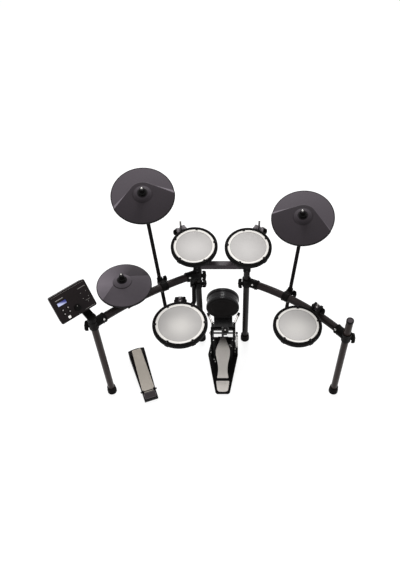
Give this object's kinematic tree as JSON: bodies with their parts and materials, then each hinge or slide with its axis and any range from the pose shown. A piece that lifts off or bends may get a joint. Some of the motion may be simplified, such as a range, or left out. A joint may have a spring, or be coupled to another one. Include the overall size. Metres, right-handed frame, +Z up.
{
  "type": "electronic drum kit",
  "caption": "Electronic drum kit on a folding tube rack: mesh drum pads, rubber cymbal pads, a sound module, an upright kick pad with its pedal and a hi-hat control pedal.",
  "frame": {"origin": "on the floor in the kit's mid-plane, on the line of the two inner legs, under the front lip of the kick tower's base", "axes": "+X to the drummer's right, +Y away from the drummer, +Z up"},
  "size_m": [1.4408, 0.7224, 1.0907],
  "materials": {
    "rack_tube": "satin black powder coat",
    "rack_bar": "satin black powder coat",
    "rack_joint": "moulded nylon",
    "foot_rubber": "matte",
    "steel_rod": "dark satin",
    "pole_tube": "satin black",
    "cymbal_core": "moulded",
    "cymbal_rubber": "dark grey, fine grain",
    "pad_shell": "moulded",
    "hoop_rubber": "satin",
    "mesh_head": "woven mesh",
    "module_plastic": "fine texture",
    "dial_plastic": "satin",
    "button_plastic": "satin",
    "lit_plastic": "lit from inside",
    "kick_plastic": "moulded",
    "kick_rubber": "two grey tones",
    "kick_steel": "black paint",
    "pedal_alloy": "cast, satin",
    "hat_board": "champagne anodised",
    "pedal_chrome": "bright",
    "beater_felt": "dark felt"
  },
  "bodies": {
    "stand": {"crossbar_corners": "rack_joint", "crossbar": "rack_bar", "inner_legs": "rack_tube", "inner_leg_feet": "foot_rubber", "pad_rods": "steel_rod", "rod_clamps": "rack_joint", "kick_shell": "kick_plastic", "kick_head": "kick_rubber", "kick_column": "kick_plastic", "kick_base": "kick_steel", "pedal_base": "kick_steel", "pedal_heel_plate": "pedal_alloy", "pedal_frame": "pedal_chrome", "pedal_spring": "pedal_chrome", "hat_pedal_base": "kick_steel"},
    "left_wing": {"left_arm": "rack_tube", "left_arm_joints": "rack_joint", "left_outer_leg": "rack_tube", "left_leg_foot": "foot_rubber", "left_rack_clamps": "rack_joint", "module_bracket": "rack_joint"},
    "right_wing": {"right_arm": "rack_tube", "right_arm_joints": "rack_joint", "right_outer_leg": "rack_tube", "right_leg_ends": "foot_rubber", "right_rack_clamps": "rack_joint", "floor_tom_rod": "steel_rod"},
    "crash_pole": {"crash_pole": "pole_tube"},
    "ride_pole": {"ride_pole": "pole_tube"},
    "hihat_pole": {"hihat_pole": "pole_tube"},
    "crash_cymbal": {"crash_core": "cymbal_core", "crash_rubber": "cymbal_rubber"},
    "ride_cymbal": {"ride_core": "cymbal_core", "ride_rubber": "cymbal_rubber"},
    "hihat_cymbal": {"hihat_core": "cymbal_core", "hihat_rubber": "cymbal_rubber"},
    "module": {"module_case": "module_plastic"},
    "value_dial": {"value_dial": "dial_plastic"},
    "footboard": {"footboard": "pedal_alloy"},
    "beater": {"beater_axle": "pedal_chrome", "beater": "beater_felt", "pedal_chain": "pedal_chrome"},
    "hat_footboard": {"hat_footboard": "hat_board"},
    "snare": {"snare_shell": "pad_shell", "snare_hoop": "hoop_rubber", "snare_head": "mesh_head"},
    "tom_one": {"tom_one_shell": "pad_shell", "tom_one_hoop": "hoop_rubber", "tom_one_head": "mesh_head"},
    "tom_two": {"tom_two_shell": "pad_shell", "tom_two_hoop": "hoop_rubber", "tom_two_head": "mesh_head"},
    "floor_tom": {"floor_tom_shell": "pad_shell", "floor_tom_hoop": "hoop_rubber", "floor_tom_head": "mesh_head"},
    "button_1": {"button_1": "button_plastic"},
    "button_2": {"button_2": "button_plastic"},
    "button_3": {"button_3": "button_plastic"},
    "button_4": {"button_4": "button_plastic"},
    "lit_button": {"lit_button": "lit_plastic"}
  },
  "joints": [
    {"name": "left_wing_fold", "type": "hinge", "parent": "stand", "child": "left_wing", "pos_m": [-0.127, 0, 0], "axis": [0, 0, 1], "range_deg": [-15, 15]},
    {"name": "right_wing_fold", "type": "hinge", "parent": "stand", "child": "right_wing", "pos_m": [0.127, 0, 0], "axis": [0, 0, 1], "range_deg": [-15, 15]},
    {"name": "crash_height", "type": "slide", "parent": "left_wing", "child": "crash_pole", "axis": [-0.1391, 0.4224, 0.8957], "range_m": [-0.05, 0.05]},
    {"name": "crash_rock", "type": "hinge", "parent": "crash_pole", "child": "crash_cymbal", "pos_m": [-0.37082, 0.09752, 1.0389], "axis": [0.9986, 0.0167, -0.0496], "range_deg": [-10, 10], "stiffness_Nm_per_rad": 6},
    {"name": "ride_height", "type": "slide", "parent": "right_wing", "child": "ride_pole", "axis": [0.1216, 0.3377, 0.9334], "range_m": [-0.05, 0.05]},
    {"name": "ride_rock", "type": "hinge", "parent": "ride_pole", "child": "ride_cymbal", "pos_m": [0.38834, 0.04421, 0.94528], "axis": [0.9905, -0.0379, 0.1321], "range_deg": [-10, 10], "stiffness_Nm_per_rad": 6},
    {"name": "hihat_height", "type": "slide", "parent": "left_wing", "child": "hihat_pole", "axis": [0.0669, 0.4046, 0.912], "range_m": [0, 0.03]},
    {"name": "hihat_rock", "type": "hinge", "parent": "hihat_pole", "child": "hihat_cymbal", "pos_m": [-0.48348, -0.15152, 0.69798], "axis": [0.9994, 0.0012, -0.0349], "range_deg": [-10, 10], "stiffness_Nm_per_rad": 6},
    {"name": "snare_tilt", "type": "hinge", "parent": "stand", "child": "snare", "pos_m": [-0.20658, -0.17922, 0.577], "axis": [-0.9986, -0.0523, 0], "range_deg": [-10, 10]},
    {"name": "tom_one_tilt", "type": "hinge", "parent": "stand", "child": "tom_one", "pos_m": [-0.21174, 0.16406, 0.72927], "axis": [-0.8572, -0.51, -0.0717], "range_deg": [-6, 10]},
    {"name": "tom_two_tilt", "type": "hinge", "parent": "stand", "child": "tom_two", "pos_m": [0.18946, 0.16099, 0.73638], "axis": [-0.9135, 0.4028, 0.0566], "range_deg": [-6, 10]},
    {"name": "floor_tom_tilt", "type": "hinge", "parent": "right_wing", "child": "floor_tom", "pos_m": [0.47507, -0.21326, 0.566], "axis": [-0.7618, 0.6478, 0], "range_deg": [-8, 10]},
    {"name": "module_tilt", "type": "hinge", "parent": "left_wing", "child": "module", "pos_m": [-0.65791, -0.29514, 0.704], "axis": [0.7581, 0.6521, 0], "range_deg": [-12, 12]},
    {"name": "value_dial_turn", "type": "hinge", "parent": "module", "child": "value_dial", "pos_m": [-0.6597, -0.35056, 0.74455], "axis": [0.5222, -0.6071, 0.599], "continuous": true},
    {"name": "button_1_press", "type": "slide", "parent": "module", "child": "button_1", "axis": [-0.5222, 0.6071, -0.599], "range_m": [0, 0.0012], "stiffness_N_per_m": 250, "springref_m": -0.0012},
    {"name": "button_2_press", "type": "slide", "parent": "module", "child": "button_2", "axis": [-0.5222, 0.6071, -0.599], "range_m": [0, 0.0012], "stiffness_N_per_m": 250, "springref_m": -0.0012},
    {"name": "button_3_press", "type": "slide", "parent": "module", "child": "button_3", "axis": [-0.5222, 0.6071, -0.599], "range_m": [0, 0.0012], "stiffness_N_per_m": 250, "springref_m": -0.0012},
    {"name": "button_4_press", "type": "slide", "parent": "module", "child": "button_4", "axis": [-0.5222, 0.6071, -0.599], "range_m": [0, 0.0012], "stiffness_N_per_m": 250, "springref_m": -0.0012},
    {"name": "lit_button_press", "type": "slide", "parent": "module", "child": "lit_button", "axis": [-0.5222, 0.6071, -0.599], "range_m": [0, 0.0012], "stiffness_N_per_m": 250, "springref_m": -0.0012},
    {"name": "footboard_press", "type": "hinge", "parent": "stand", "child": "footboard", "pos_m": [0, -0.293, 0.022], "axis": [-1, 0, 0], "range_deg": [0, 7.8], "stiffness_Nm_per_rad": 14, "springref_deg": -6.88},
    {"name": "beater_swing", "type": "hinge", "parent": "stand", "child": "beater", "pos_m": [0, -0.102, 0.196], "axis": [-1, 0, 0], "range_deg": [0, 55], "deforming": ["pedal_spring", "pedal_chain"]},
    {"name": "hat_footboard_press", "type": "hinge", "parent": "stand", "child": "hat_footboard", "pos_m": [-0.406, -0.361, 0.018], "axis": [-0.9379, -0.3469, 0], "range_deg": [0, 10], "stiffness_Nm_per_rad": 30, "springref_deg": -5.73}
  ],
  "couplings": [
    {"joint": "beater_swing", "follows": "footboard_press", "ratio": 7}
  ]
}
